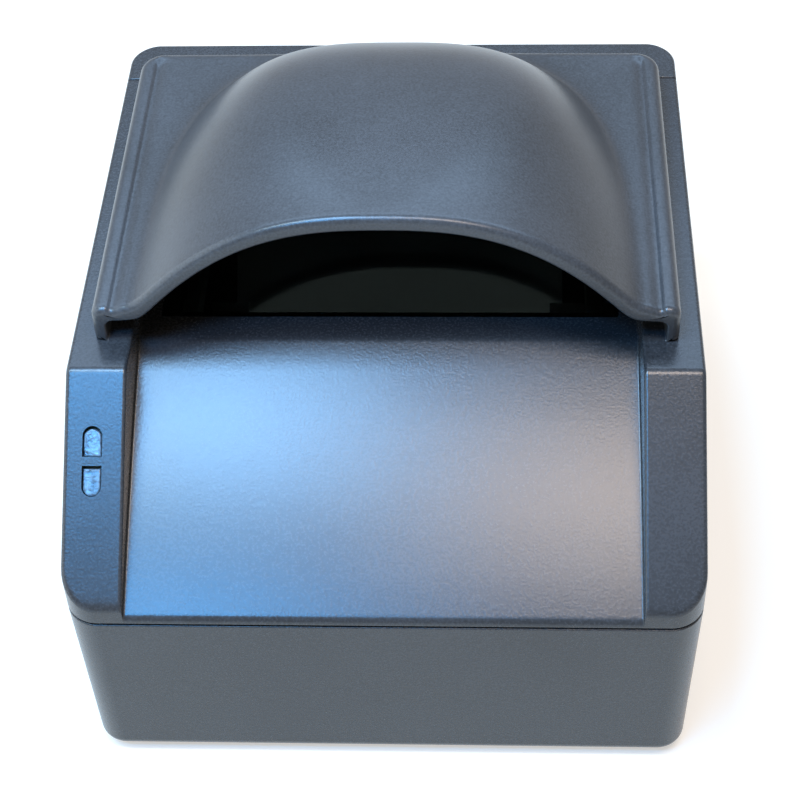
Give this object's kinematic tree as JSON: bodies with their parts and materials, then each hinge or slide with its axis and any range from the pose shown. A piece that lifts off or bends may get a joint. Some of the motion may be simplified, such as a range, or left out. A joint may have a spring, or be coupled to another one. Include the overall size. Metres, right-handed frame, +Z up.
{
  "type": "passport reader",
  "caption": "Desktop full-page document reader: boxy case with a sloping channel between two arms, a glass window and a lift-off domed light hood.",
  "frame": {"origin": "on the table plane, under the middle of the case", "axes": "+X to the right seen from the front, +Y from the front to the rear, +Z up"},
  "size_m": [0.1764, 0.2026, 0.156],
  "materials": {
    "case_abs": "satin, fine moulded spark texture, dark charcoal",
    "hood_abs": "satin, fine moulded spark texture, dark charcoal",
    "inner_abs": "matt black, moulded",
    "rubber": "matt black",
    "glass": "polished float glass",
    "mirror": "front-silvered",
    "clear_plastic": "clear, polished, frosted underneath",
    "diffuser_plastic": "opal white",
    "circuit_board": "green solder mask",
    "lens_black": "semi-matt black, moulded",
    "steel": "zinc plated",
    "socket_steel": "nickel plated sheet",
    "flex_film": "amber polyimide film",
    "cable_sleeve": "matt black PVC"
  },
  "bodies": {
    "case": {"lower_housing": "case_abs", "top_cover": "case_abs", "rear_cover": "case_abs", "document_glass": "glass", "glass_gasket": "rubber", "glass_frame": "inner_abs", "antenna_board": "circuit_board", "optics_chassis": "inner_abs", "fold_mirror": "mirror", "mirror_carrier": "inner_abs", "mirror_clip_left": "steel", "mirror_clip_right": "steel", "camera_bracket": "steel", "camera_board": "circuit_board", "lens_holder": "lens_black", "camera_lens": "lens_black", "light_board_left": "circuit_board", "light_board_right": "circuit_board", "light_diffuser_left": "diffuser_plastic", "light_diffuser_right": "diffuser_plastic", "uv_light_board": "circuit_board", "status_lens_upper": "clear_plastic", "status_lens_lower": "clear_plastic", "status_light_board": "circuit_board", "status_board_screw": "steel", "main_board": "circuit_board", "usb_socket": "socket_steel", "power_socket": "lens_black", "buzzer": "lens_black", "camera_cable": "flex_film", "status_cable": "cable_sleeve", "foot_front_left": "rubber", "foot_rear_left": "rubber", "foot_front_right": "rubber", "foot_rear_right": "rubber", "case_screw_front_left": "steel", "case_screw_rear_left": "steel", "case_screw_front_right": "steel", "case_screw_rear_right": "steel", "chassis_screw_front_left": "steel", "chassis_screw_rear_left": "steel", "chassis_screw_front_right": "steel", "chassis_screw_rear_right": "steel", "main_board_screw_front_left": "steel", "main_board_screw_rear_left": "steel", "main_board_screw_front_right": "steel", "main_board_screw_rear_right": "steel", "rear_cover_screw_left": "steel", "rear_cover_screw_right": "steel", "camera_bracket_screw_left": "steel", "camera_bracket_screw_right": "steel"},
    "light_hood": {"hood": "hood_abs"}
  },
  "joints": [
    {"name": "hood_lift", "type": "slide", "parent": "case", "child": "light_hood", "axis": [0, 0, 1], "range_m": [0, 0.06]}
  ]
}
